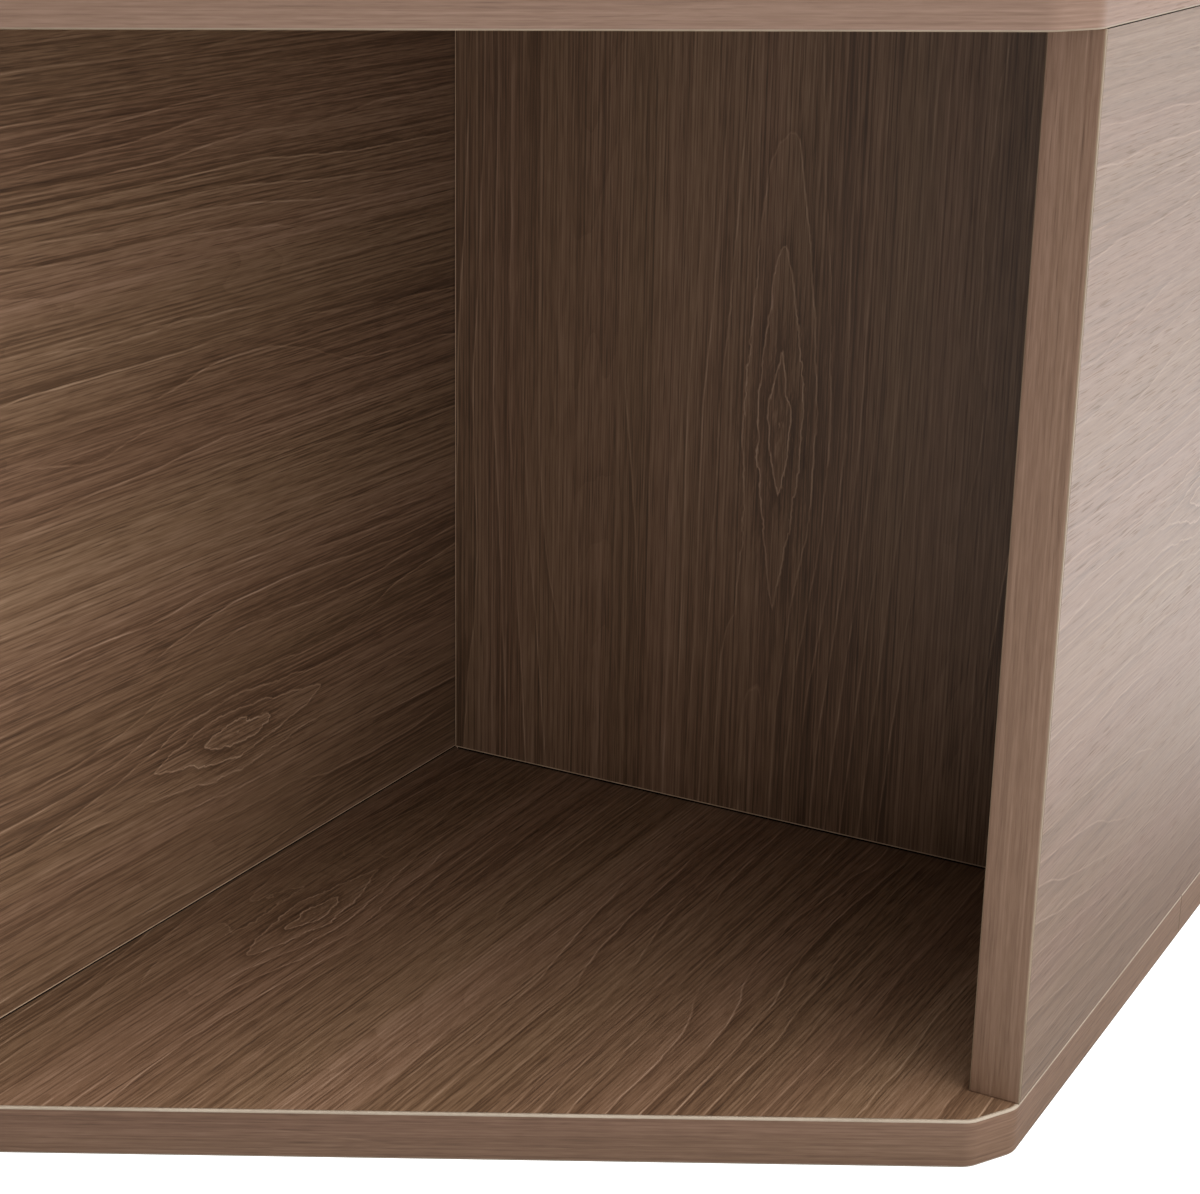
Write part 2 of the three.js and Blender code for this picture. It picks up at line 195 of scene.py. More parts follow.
def ring_group():
    """Counts growth rings across a sheet: a height whose whole numbers are the rings' pale lines."""
    group = bpy.data.node_groups.new("growth rings", "ShaderNodeTree")
    group.interface.new_socket("Grain", in_out="INPUT", socket_type="NodeSocketVector")
    group.interface.new_socket("Rings", in_out="OUTPUT", socket_type="NodeSocketFloat")
    group.interface.new_socket("Radius", in_out="OUTPUT", socket_type="NodeSocketFloat")
    group.interface.new_socket("Calm", in_out="OUTPUT", socket_type="NodeSocketFloat")
    t = Tree(group)
    grain = t.put("NodeGroupInput").outputs[0]
    parts = t.put("ShaderNodeSeparateXYZ", {0: grain})
    along, across = parts.outputs[0], parts.outputs[1]
    far = t.math("DIVIDE", along, EYE_LENGTH)
    aside = t.math("DIVIDE", across, 2 * EYE_WIDTH)
    calm = t.math("EXPONENT", t.times(t.add(t.times(far, far), t.times(aside, aside)), -1.0))
    meander = t.times(t.noise(grain, (2.4, 9.0, 1.0), detail=2.0), t.span(calm, 0.0, 0.8, 0.045, 0.004))
    wander = t.noise(grain, (13.0, 38.0, 3.0), detail=2.0, roughness=0.5)
    raggedness = t.span(calm, 0.0, 1.0, 0.0009, 0.0055)
    jog = t.times(t.noise(grain, (85.0, 130.0, 5.0), detail=3.0, roughness=0.6), raggedness)
    place = t.math("ABSOLUTE", t.add(across, meander, t.times(wander, 0.009), jog))
    closed = t.math("SQRT", t.math("SUBTRACT", 1.0, t.math("EXPONENT", t.times(t.times(far, far), -1.0))))
    reach = t.times(closed, EYE_WIDTH)
    sides = t.add(t.math("POWER", place, POINTEDNESS), t.math("POWER", reach, POINTEDNESS))
    radius = t.math("POWER", sides, 1 / POINTEDNESS)
    crowding = t.times(t.noise(grain, (1.5, 12.0, 7.0), detail=1.0), t.span(calm, 0.0, 0.8, 11.0, 0.0))
    closeness = t.math("EXPONENT", t.times(radius, -1 / EYE_SPREAD))
    rings = t.add(t.times(radius, RINGS_PER_METRE), t.times(closeness, -EYE_RINGS), EYE_RINGS, crowding)
    t.put("NodeGroupOutput", {0: rings, 1: radius, 2: calm})
    return group


def walnut(name, ring_tree, lift=0.0, figure=1.0, contrast=1.0, tint=(1.0, 1.0, 1.0)):
    """Walnut-look decor with pressed-in pores.

    lift makes the sheet paler, figure is the strength of its rings, and contrast is that of everything.
    """
    material, t = new_material(name)
    grain = t.put("ShaderNodeAttribute", attribute_name="grain").outputs["Vector"]

    def ring_field(place):
        node = t.put("ShaderNodeGroup", node_tree=ring_tree)
        t.tree.links.new(place, node.inputs[0])
        return node.outputs

    rings, radius, calm = ring_field(grain)
    beside, _, _ = ring_field(t.shift(grain, (0, PROBE, 0)))
    slope = t.math("ABSOLUTE", t.math("DIVIDE", t.math("SUBTRACT", beside, rings), PROBE))
    steep = t.math("MAXIMUM", slope, 25.0)
    phase = t.math("FRACT", rings)
    after = t.math("DIVIDE", phase, steep)
    before = t.math("DIVIDE", t.math("SUBTRACT", 1.0, phase), steep)
    nearest = t.math("MINIMUM", after, before)
    fading = t.span(t.noise(grain, (4.0, 24.0, 7.0)), -0.12, 0.10, 0.3, 1.0)
    crowded = t.span(steep, 70.0, 260.0, 1.0, 0.08)
    lying = t.span(slope, 10.0, 60.0)
    shown = t.times(t.math("MAXIMUM", t.times(t.times(fading, crowded), lying), t.times(calm, 1.4)), figure)
    line = t.times(t.span(nearest, 0.15 * MM, 0.6 * MM, 1.0, 0.0), shown)
    dark = t.times(t.math("EXPONENT", t.math("DIVIDE", after, -3.6 * MM)), shown)
    heart = t.times(t.span(radius, 1.6 * MM, 2.6 * MM, 1.0, 0.0), figure)
    minor_phase = t.math("FRACT", t.times(rings, 3.0))
    minor_zone = t.span(t.noise(grain, (4.0, 30.0, 31.0)), -0.05, 0.15)
    minor_shown = t.times(t.times(minor_zone, figure), crowded)
    minor = t.times(t.math("POWER", minor_phase, 3.0), minor_shown)

    broad = t.noise(grain, (1.1, 17.0, 11.0), detail=2.0)
    streak = t.noise(grain, (3.0, 170.0, 13.0), detail=2.0, roughness=0.6)
    pinstripe = t.noise(grain, (4.0, 1050.0, 41.0), detail=1.0)
    fine = t.noise(grain, (60.0, 1100.0, 17.0), detail=2.0, roughness=0.7)
    thread = t.span(t.noise(grain, (5.0, 420.0, 37.0), detail=1.0), 0.09, 0.17)
    pore_noise = t.noise(grain, (65.0, 1500.0, 19.0), detail=1.0)
    pore_zone = t.span(t.noise(grain, (5.0, 42.0, 23.0)), -0.14, 0.14, 0.35, 1.0)
    pore = t.times(t.span(pore_noise, 0.04, 0.2), pore_zone)

    marks = t.add(
        t.times(broad, 0.45),
        t.times(streak, 0.20),
        t.times(pinstripe, 0.70),
        t.times(fine, 0.66),
        t.times(thread, -0.10),
        t.times(dark, -0.23),
        t.times(minor, -0.08),
        t.times(line, 0.34),
        t.times(heart, 0.14),
        t.times(pore, -0.16),
    )
    tone = t.add(0.5 + lift, t.times(marks, contrast))
    brown = t.ramp(
        tone,
        [
            (0.0, (0.045, 0.021, 0.010)),
            (0.3, (0.105, 0.054, 0.028)),
            (0.5, (0.180, 0.100, 0.056)),
            (0.72, (0.262, 0.158, 0.098)),
            (1.0, (0.400, 0.270, 0.185)),
        ],
    )
    hue = t.span(t.noise(grain, (1.7, 26.0, 29.0), detail=2.0), -0.16, 0.16)
    olive = t.blend(1.0, brown, (0.99, 1.006, 0.97), mode="MULTIPLY")
    red = t.blend(1.0, brown, (1.01, 0.99, 1.0), mode="MULTIPLY")
    colour = t.blend(1.0, t.blend(hue, olive, red), tint, mode="MULTIPLY")

    relief = t.add(t.times(pore, -1.0), fine)
    normal = t.bump(relief, 0.05 * MM, strength=0.7)
    rough = t.add(0.47, t.times(pore, 0.12), t.times(streak, 0.12), t.times(broad, 0.05))
    t.surface(Base_Color=colour, Roughness=rough, Specular_IOR_Level=0.5, Normal=normal)
    return material


def band_core(name, tint):
    """The plastic inside an edge band, laid bare where its arris is trimmed."""
    material, t = new_material(name)
    grain = t.put("ShaderNodeAttribute", attribute_name="grain").outputs["Vector"]
    chatter = t.noise(grain, (260.0, 900.0, 3.0), detail=2.0)
    cloud = t.noise(grain, (22.0, 300.0, 5.0), detail=3.0)
    tone = t.add(0.5, t.times(cloud, 0.7), t.times(chatter, 0.35))
    stops = [(0.2, (0.19, 0.145, 0.10)), (0.5, (0.27, 0.215, 0.16)), (0.8, (0.34, 0.28, 0.215))]
    pale = t.ramp(tone, stops)
    colour = t.blend(1.0, pale, tint, mode="MULTIPLY")
    normal = t.bump(chatter, 0.02 * MM, strength=0.4)
    rough = t.add(0.48, t.times(chatter, 0.15))
    t.surface(Base_Color=colour, Roughness=rough, Normal=normal)
    return material


def painted_shade(name):
    """Painted shade: a near-black sheet on a board's faces deep in its shadow gaps, where there is only
    shade.
    """
    material, t = new_material(name)
    place = t.put("ShaderNodeTexCoord").outputs["Object"]
    mottle = t.noise(place, (180.0, 180.0, 900.0), detail=3.0)
    colour = t.ramp(t.add(0.5, mottle), [(0.3, (0.003, 0.002, 0.0015)), (0.7, (0.009, 0.006, 0.004))])
    rough = t.add(0.8, t.times(mottle, 0.3))
    t.surface(Base_Color=colour, Roughness=rough, Specular_IOR_Level=0.1, Normal=t.bump(mottle, 0.03 * MM))
    return material


def chipboard(name):
    """Raw particle board, on cut edges and in bores."""
    material, t = new_material(name)
    place = t.put("ShaderNodeTexCoord").outputs["Object"]
    chips = t.put("ShaderNodeTexVoronoi", {"Vector": place, "Scale": 420.0, "Randomness": 1.0})
    chip_tone = t.put("ShaderNodeSeparateColor", {0: chips.outputs["Color"]}).outputs[0]
    flakes = t.math("SUBTRACT", chip_tone, 0.5)
    dust = t.noise(place, (1400.0, 1400.0, 1400.0), detail=3.0)
    tone = t.add(0.5, t.times(flakes, 0.5), t.times(dust, 0.6))
    colour = t.ramp(tone, [(0.1, (0.20, 0.12, 0.06)), (0.5, (0.40, 0.27, 0.15)), (0.9, (0.58, 0.43, 0.27))])
    normal = t.bump(t.add(flakes, dust), 0.2 * MM, strength=0.7)
    t.surface(Base_Color=colour, Roughness=t.add(0.85, t.times(dust, 0.2)), Normal=normal)
    return material


def zinc(name):
    """Bright zinc plating over a die-cast skin."""
    material, t = new_material(name)
    place = t.put("ShaderNodeTexCoord").outputs["Object"]
    cast = t.noise(place, (900.0, 900.0, 900.0), detail=4.0, roughness=0.6)
    smear = t.noise(place, (160.0, 160.0, 160.0), detail=2.0)
    colour = t.ramp(t.add(0.5, smear), [(0.3, (0.50, 0.51, 0.52)), (0.7, (0.68, 0.68, 0.67))])
    rough = t.add(0.34, t.times(smear, 0.2), t.times(cast, 0.15))
    normal = t.bump(cast, 0.03 * MM, strength=0.5)
    t.surface(Base_Color=colour, Metallic=1.0, Roughness=rough, Normal=normal)
    return material


def beech(name):
    """Turned beech: pale, straight grained, with short darker flecks along the pin."""
    material, t = new_material(name)
    place = t.put("ShaderNodeTexCoord").outputs["Object"]
    streak = t.noise(place, (30.0, 900.0, 900.0), detail=2.0)
    fleck = t.span(t.noise(place, (260.0, 2600.0, 2600.0), detail=0.0), 0.12, 0.25)
    tone = t.add(0.5, t.times(streak, 0.8), t.times(fleck, -0.2))
    colour = t.ramp(tone, [(0.2, (0.42, 0.26, 0.14)), (0.8, (0.68, 0.49, 0.31))])
    normal = t.bump(t.add(streak, t.times(fleck, -0.5)), 0.05 * MM, strength=0.5)
    t.surface(Base_Color=colour, Roughness=t.add(0.62, t.times(streak, 0.2)), Normal=normal)
    return material


def nylon(name):
    """Dark moulded nylon with a fine spark-eroded skin."""
    material, t = new_material(name)
    place = t.put("ShaderNodeTexCoord").outputs["Object"]
    skin = t.noise(place, (2600.0, 2600.0, 2600.0), detail=2.0)
    scuff = t.noise(place, (120.0, 120.0, 120.0), detail=3.0)
    colour = t.ramp(t.add(0.5, scuff), [(0.3, (0.020, 0.017, 0.015)), (0.75, (0.045, 0.038, 0.033))])
    rough = t.add(0.52, t.times(scuff, 0.25))
    t.surface(Base_Color=colour, Roughness=rough, Normal=t.bump(skin, 0.04 * MM, strength=0.5))
    return material


FLOOR_GLOW = 1.3  # the floor is a white sweep, overexposed to the camera only
FLOOR_POOLS = [
    (0.9, 0.5, 0.6, 1.75),
    (1.25, 1.2, 0.8, 1.2),
    (2.4, 3.0, 1.6, 3.3),
    (0.9, -1.2, 0.8, 1.05),
    (0.62, -0.45, 0.3, 2.3),
    (0.0, 0.0, 0.33, 1.0),
]


def pale_floor(name):
    """The plain white studio floor, with soft pools of light on it: (x, y, radius, strength) for each.

    It is clear from below, so that the underside shows.
    """
    material, t = new_material(name)
    place = t.put("ShaderNodeTexCoord").outputs["Object"]
    cloud = t.noise(place, (0.8, 0.8, 0.8), detail=1.0)
    colour = t.ramp(t.add(0.5, cloud), [(0.0, (0.30, 0.30, 0.30)), (1.0, (0.32, 0.32, 0.32))])
    seen = t.put("ShaderNodeLightPath").outputs["Is Camera Ray"]
    glow = t.times(seen, FLOOR_GLOW)
    for x, y, radius, strength in FLOOR_POOLS:
        away = t.put("ShaderNodeVectorMath", {0: place, 1: (x, y, 0)}, operation="DISTANCE")
        glow = t.add(glow, t.span(away.outputs["Value"], 0.6 * radius, 1.2 * radius, strength, 0.0))
    looks = {
        "Base Color": colour,
        "Roughness": 0.9,
        "Emission Color": (1, 1, 1, 1),
        "Emission Strength": glow,
    }
    sweep = t.put("ShaderNodeBsdfPrincipled", looks).outputs[0]
    clear = t.put("ShaderNodeBsdfTransparent").outputs[0]
    below = t.put("ShaderNodeNewGeometry").outputs["Backfacing"]
    one_sided = t.put("ShaderNodeMixShader", {0: below, 1: sweep, 2: clear}).outputs[0]
    t.put("ShaderNodeOutputMaterial", {"Surface": one_sided})
    return material


RINGS = ring_group()
LAMINATE = walnut("walnut laminate", RINGS)
OUTER_LAMINATE = walnut(
    "walnut laminate, plain cut", RINGS, lift=0.02, figure=1.2, contrast=0.42, tint=(0.96, 1.08, 1.32)
)
# the top's band is the same band as the base's, lifted paler for the stronger light from above: painted
# light
LIT_TOP_BAND = walnut(
    "walnut band of the top, painted lighter", RINGS, lift=0.08, figure=0.3, contrast=0.45, tint=(1.0, 1.01, 1.2)
)
BAND_LOOKS = {"figure": 0.3, "contrast": 0.55, "tint": (1.0, 1.0, 1.08)}
BASE_BAND = walnut("walnut band of the base", RINGS, **BAND_LOOKS)
END_BAND = walnut("walnut band of the ends", RINGS, lift=0.03, **BAND_LOOKS)
PALE_CORE = band_core("pale band core", (1.3, 1.3, 1.3))
WARM_CORE = band_core("warm band core", (0.95, 0.88, 0.80))
TAN_CORE = band_core("tan band core", (0.72, 0.62, 0.50))
# the laminate's trimmed lip: its pale core, brightened far beyond that into a painted highlight on faces
# that look down into shade
LIP_CORE_AND_HIGHLIGHT = band_core("trimmed laminate lip, painted highlight", (1.9, 1.68, 1.5))
# painted shade: a near-black sheet for the faces deep in the boards' shadow gaps
PAINTED_GAP_SHADE = painted_shade("painted shade in gaps")
CHIPBOARD = chipboard("chipboard")
ZINC = zinc("bright zinc")
BEECH = beech("turned beech")
NYLON = nylon("moulded nylon")

# ---------------------------------------------------------------- meshes


def add_piece(name, mesh, nodes, materials):
    """Links a mesh as a piece that stands for the CAD nodes named."""
    piece = bpy.data.objects.new(name, mesh)
    bpy.context.scene.collection.objects.link(piece)
    for material in materials:
        mesh.materials.append(material)
    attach(piece, "root")
    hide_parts(*nodes)
    return piece


def mesh_from(bm, name):
    bmesh.ops.recalc_face_normals(bm, faces=bm.faces)
    mesh = bpy.data.meshes.new(name)
    bm.to_mesh(mesh)
    bm.free()
    return mesh


def lathe(profile, facets=FACETS):
    """A closed solid of revolution about Z from (radius, z) pairs, whose ends lie on the axis."""
    bm = bmesh.new()
    rings = []
    for radius, z in profile:
        if radius == 0:
            rings.append([bm.verts.new((0, 0, z))])
            continue
        turn = [2 * math.pi * i / facets for i in range(facets)]
        rings.append([bm.verts.new((radius * math.cos(a), radius * math.sin(a), z)) for a in turn])
    for lower, upper in zip(rings, rings[1:]):
        for i in range(facets):
            j = (i + 1) % facets
            corners = [lower[i % len(lower)], lower[j % len(lower)]]
            corners += [upper[j % len(upper)], upper[i % len(upper)]]
            bm.faces.new(list(dict.fromkeys(corners)))
    return bm


def bore(profile, start, direction):
    """A cutter for a round hole: (radius, depth) pairs along a direction from a point on the face."""
    bm = lathe([(0, profile[0][1]), *profile, (0, profile[-1][1])])
    turn = Vector((0, 0, 1)).rotation_difference(Vector(direction)).to_matrix().to_4x4()
    bmesh.ops.transform(bm, matrix=Matrix.Translation(start) @ turn, verts=bm.verts)
    return bm


def straight_bore(radius, start, end):
    """A cutter for a plain hole between two points."""
    run = Vector(end) - Vector(start)
    return bore([(radius, 0), (radius, run.length)], start, run.normalized())


def cut(mesh, cutters):
    """mesh with every cutter taken out of it."""
    body = bpy.data.objects.new("cut body", mesh)
    bpy.context.scene.collection.objects.link(body)
    tools = []
    for cutter in cutters:
        tool = bpy.data.objects.new("cutter", mesh_from(cutter, "cutter"))
        bpy.context.scene.collection.objects.link(tool)
        modifier = body.modifiers.new("cut", "BOOLEAN")
        modifier.operation = "DIFFERENCE"
        modifier.solver = "EXACT"
        modifier.object = tool
        tools.append(tool)
    graph = bpy.context.evaluated_depsgraph_get()
    result = bpy.data.meshes.new_from_object(body.evaluated_get(graph))
    for thing in [body, *tools]:
        data = thing.data
        bpy.data.objects.remove(thing)
        bpy.data.meshes.remove(data)
    return result


# ---------------------------------------------------------------- sheets of decor

# material slots of a board: its decor, its trimmed arrises, the painted shade deep in its gaps, its raw
# chipboard
SHEET, TRIMMED, PAINTED_SHADE_SLOT, CUT = range(4)
AXES = {"x": Vector((1, 0, 0)), "y": Vector((0, 1, 0)), "z": Vector((0, 0, 1))}


def lay_sheets(mesh, along, across, thick, sheets):
    """Writes the grain attribute and the material of each face of a board.

    along, across and thick name the board's axes. sheets gives, for its low and its high face, where the
    figure's eye is along and across the grain, the number of the sheet, and how far its figure is drawn out
    along the grain.
    """
    u_axis, v_axis, w_axis = AXES[along], AXES[across], AXES[thick]
    depths = [vertex.co.dot(w_axis) for vertex in mesh.vertices]
    low, high = min(depths), max(depths)
    middle = (low + high) / 2
    flush = 0.01 * MM
    bore_facet_area = 2e-4  # the facets of a bore's wall are smaller than this, and shade smooth
    grain = mesh.attributes.new("grain", "FLOAT_VECTOR", "CORNER")
    for face in mesh.polygons:
        depth = face.center.dot(w_axis)
        (eye_u, eye_v), sheet, drawn_out = sheets[0 if depth < middle else 1]
        inside = min(depth - low, high - depth)
        if inside < flush:
            face.material_index = SHEET
        elif inside < 1.1 * GAP_DEPTH:
            square = max(abs(n) for n in face.normal) > 0.9999
            # a face square to the board deep in a gap gets the painted shade, and a slanting one the trimmed
            # arris
            face.material_index = PAINTED_SHADE_SLOT if square else TRIMMED
        else:
            face.material_index = CUT
            face.use_smooth = face.area < bore_facet_area
        for loop in face.loop_indices:
            place = mesh.vertices[mesh.loops[loop].vertex_index].co
            u, v = place.dot(u_axis) - eye_u, place.dot(v_axis) - eye_v
            grain.data[loop].vector = (u / drawn_out, v, sheet)


# ---------------------------------------------------------------- outline of the top and base

_, BAND_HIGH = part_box("base_edge_band")
APOTHEM = BAND_HIGH.x
CORNER_REACH = BAND_HIGH.y
EDGE_TURN = math.pi / 6


def sharp_corners(inset):
    """Where the outline's twelve edges would meet, moved inwards by inset."""
    corners = []
    for i in range(12):
        before, after = i * EDGE_TURN, (i + 1) * EDGE_TURN
        near = (APOTHEM if i % 2 == 0 else CORNER_REACH) - inset
        far = (CORNER_REACH if i % 2 == 0 else APOTHEM) - inset
        x = (near * math.sin(after) - far * math.sin(before)) / math.sin(EDGE_TURN)
        y = (far * math.cos(before) - near * math.cos(after)) / math.sin(EDGE_TURN)
        corners.append(Vector((x, y, 0)))
    return corners


def outline(inset):
    """The outline moved inwards by inset, anticlockwise, with an arc at each corner."""
    points = []
    for i, centre in enumerate(sharp_corners(CORNER_EASE)):
        for k in range(EASE_STEPS + 1):
            angle = (i + k / EASE_STEPS) * EDGE_TURN
            out = Vector((math.cos(angle), math.sin(angle), 0))
            points.append(centre + out * (CORNER_EASE - inset))
    return points


def band_walk():
    """Stations round the outline from one end of the band to the other, each a point and its outward
    direction, with support stations close to every arc so that the long faces shade flat.

    The number of the station halfway round is returned with them.
    """
    support = 1.5 * MM
    halfway = 0
    ends = SEAM_GAP / 2, SEAM_GAP / 2 + END_SUPPORT
    stations = [(Vector((APOTHEM, SEAM_Y + away, 0)), 0.0) for away in ends]
    for i, centre in enumerate(sharp_corners(CORNER_EASE)):
        for k in range(EASE_STEPS + 1):
            angle = (i + k / EASE_STEPS) * EDGE_TURN
            out = Vector((math.cos(angle), math.sin(angle), 0))
            forward = Vector((-math.sin(angle), math.cos(angle), 0))
            point = centre + out * CORNER_EASE
            if k == 0:
                stations.append((point - forward * support, angle))
            stations.append((point, angle))
            if k == EASE_STEPS:
                stations.append((point + forward * support, angle))
        if i == 5:
            halfway = len(stations)
            stations.append((Vector((-APOTHEM, -SEAM_Y, 0)), math.pi))
    stations += [(Vector((APOTHEM, SEAM_Y - away, 0)), 2 * math.pi) for away in reversed(ends)]
    return stations, halfway


def rounded_strip(width, round_radius, steps=4):
    """A band's section, from one long edge to the other over its outer face: (depth, place) pairs, where
    depth is measured in from the outer face. The first and last steps are the trimmed arrises."""
    support = 0.8 * MM
    quarter = [math.pi / 2 * k / steps for k in range(steps + 1)]
    low = [(round_radius * (1 - math.sin(a)), round_radius * (1 - math.cos(a))) for a in quarter]
    section = [(BAND, 0), *low, (0, round_radius + support)]
    return section + [(depth, width - place) for depth, place in reversed(section)]


def sweep_band(stations, section, to_point, seed, arris_steps, lift=0.0, start=0):
    """A closed strip swept through stations. Its grain runs both ways along it from station start, and lift
    is how far its low edge lies from the figure's eye."""
    bm = bmesh.new()
    layer = bm.loops.layers.float_vector.new("grain")
    rows = []
    for station in stations:
        rows.append([bm.verts.new(to_point(station, depth, place)) for depth, place in section])
    lengths = [0.0]
    for a, b in zip(stations, stations[1:]):
        lengths.append(lengths[-1] + (b[0] - a[0]).length)
    reach = [abs(length - lengths[start]) for length in lengths]
    count = len(section)
    for i in range(len(rows) - 1):
        for j in range(count):
            k = (j + 1) % count
            face = bm.faces.new([rows[i][j], rows[i + 1][j], rows[i + 1][k], rows[i][k]])
            outer = arris_steps < j < count - 2 - arris_steps
            face.material_index = 0 if outer else 1
            face.smooth = j != count - 1
            across = [section[j][1], section[j][1], section[k][1], section[k][1]]
            along = [reach[i], reach[i + 1], reach[i + 1], reach[i]]
            for loop, u, v in zip(face.loops, along, across):
                loop[layer] = (u, v + lift, seed)
    for row in (rows[0], rows[-1]):
        face = bm.faces.new(row)
        face.material_index = 1
        for loop in face.loops:
            loop[layer] = (0, 0, seed)
    return mesh_from(bm, "band")


def wrapped_band(node, seed, decor, core, round_radius):
    """The band round the top or the base."""
    low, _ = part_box(node)

    def to_point(station, depth, place):
        point, angle = station
        out = Vector((math.cos(angle), math.sin(angle), 0))
        return point - out * depth + Vector((0, 0, low.z + place))

    steps = 4
    section = rounded_strip(BOARD, round_radius, steps)
    stations, halfway = band_walk()
    mesh = sweep_band(stations, section, to_point, seed, steps, lift=0.08, start=halfway)
    add_piece(f"{node}_finished", mesh, [node], [decor, core])


def end_band(node, seed):
    """The upright band on the end of a side panel or of the long divider."""
    low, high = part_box(node)
    out = math.copysign(1, low.y)
    face_y = high.y if out > 0 else low.y

    def to_point(station, depth, place):
        point, _ = station
        return Vector((low.x + place, face_y - out * depth, point.z))

    heights = (low.z, low.z + END_SUPPORT, high.z - END_SUPPORT, high.z)
    stations = [(Vector((0, 0, z)), 0.0) for z in heights]
    steps = 3
    section = rounded_strip(BOARD, END_ROUND, steps)
    mesh = sweep_band(stations, section, to_point, seed, steps, lift=0.05)
    add_piece(f"{node}_finished", mesh, [node], [END_BAND, TAN_CORE])


# ---------------------------------------------------------------- boards


def centre(node):
    low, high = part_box(node)
    return (low + high) / 2


def nodes_named(prefix):
    return sorted(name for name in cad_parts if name.startswith(prefix))


def cam_face(lock):
    """Where a cam lock's driven face is, and the direction it looks in."""
    low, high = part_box(lock)
    middle = (low + high) / 2
    size = high - low
    axis = Vector((1, 0, 0)) if size.x < size.y else Vector((0, 1, 0))
    board = centre(lock.replace("cam_lock_", "cam_bolt_"))
    side = math.copysign(1, (middle - board).dot(axis))
    return Vector((board.x, board.y, middle.z)) + axis * side * BOARD / 2, axis * side


def upright_cutters(board):
    """The bores in one upright, for the fittings whose names carry the board's name."""
    low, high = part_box(board)
    over = 2 * MM
    cutters = []
    for lock in nodes_named(f"cam_lock_{board}"):
        face, out = cam_face(lock)
        cutters.append(straight_bore(CAM_BORE, face + out * over, face - out * CAM_BORE_DEPTH))
        middle = face - out * BOARD / 2
        cutters.append(straight_bore(BOLT_BORE, middle, (middle.x, middle.y, high.z + over)))
    for screw in nodes_named(f"base_screw_{board}"):
        foot = centre(screw)
        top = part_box(screw)[1].z + 1 * MM
        cutters.append(straight_bore(SCREW_BORE, (foot.x, foot.y, low.z - over), (foot.x, foot.y, top)))
    for dowel in nodes_named("dowel_"):
        start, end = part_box(dowel)
        height = centre(dowel).z
        if start.x < high.x and end.x > low.x:
            bore_start = (start.x - CLEARANCE, 0, height)
            bore_end = (end.x + CLEARANCE, 0, height)
            cutters.append(straight_bore(DOWEL_BORE, bore_start, bore_end))
    return cutters


def trimmed_rectangle(x, y):
    """A rectangle with its corners cut off at 45 degrees, from its half sides."""
    corners = [(x, y - ARRIS), (x - ARRIS, y), (ARRIS - x, y), (-x, y - ARRIS)]
    return corners + [(-a, -b) for a, b in corners]


def butted_rectangle(x, y):
    """A rectangle whose ends along x butt against other boards, with a gap and a lip at each corner."""
    corner = [(x, y - GAP_DEPTH), (x - BUTT_GAP, y - GAP_DEPTH), (x - BUTT_GAP, y - LIP_DROP)]
    corner.append((x - BUTT_GAP - LIP, y))
    half = corner + [(-a, b) for a, b in reversed(corner)]
    return half + [(-a, -b) for a, b in half]


def upright(node, along, across, thick, sheets, decor):
    """A vertical board. An inner one has a fine shadow gap and a lip at its head and foot, and a side panel
    has a narrower gap at its head only."""
    low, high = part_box(node)
    middle, half = (low + high) / 2, (high - low) / 2
    foot = head = [(0, GAP_DEPTH), (GAP, GAP_DEPTH), (GAP, LIP_DROP), (GAP + LIP, 0)]
    # an inner upright's lip beside each gap carries the painted highlight
    core = LIP_CORE_AND_HIGHLIGHT
    if decor is OUTER_LAMINATE:
        foot, head = [(0, 0)], [(0, GAP_DEPTH), (HEAD_GAP, GAP_DEPTH), (HEAD_GAP, 0)]
        core = TAN_CORE
    section = butted_rectangle if node.startswith("cross_divider") else trimmed_rectangle
    levels = [(low.z + rise, inset) for rise, inset in foot]
    levels += [(high.z - rise, inset) for rise, inset in reversed(head)]
    bm = bmesh.new()
    rings = []
    for z, inset in levels:
        points = section(half.x - inset, half.y - inset)
        rings.append([bm.verts.new((middle.x + x, middle.y + y, z)) for x, y in points])
    for lower, upper in zip(rings, rings[1:]):
        for i in range(len(lower)):
            j = (i + 1) % len(lower)
            bm.faces.new([lower[i], lower[j], upper[j], upper[i]])
    bm.faces.new(rings[0])
    bm.faces.new(rings[-1])
    mesh = cut(mesh_from(bm, node), upright_cutters(node))
    lay_sheets(mesh, along, across, thick, sheets)
    add_piece(f"{node}_finished", mesh, [node], [decor, core, PAINTED_GAP_SHADE, CHIPBOARD])


def slab(node, cutters, sheets):
    """The top or the base: the hexagon inside its band, with its bores."""
    low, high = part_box(node)
    bm = bmesh.new()
    ring = outline(BAND + GLUE_LINE)
    lower = [bm.verts.new((p.x, p.y, low.z)) for p in ring]
    upper = [bm.verts.new((p.x, p.y, high.z)) for p in ring]
    bm.faces.new(list(reversed(lower)))
    bm.faces.new(upper)
    for i in range(len(ring)):
        j = (i + 1) % len(ring)
        bm.faces.new([lower[i], lower[j], upper[j], upper[i]])
    mesh = cut(mesh_from(bm, node), cutters)
    lay_sheets(mesh, "y", "x", "z", sheets)
    add_piece(f"{node}_finished", mesh, [node], [LAMINATE, LIP_CORE_AND_HIGHLIGHT, PAINTED_GAP_SHADE, CHIPBOARD])


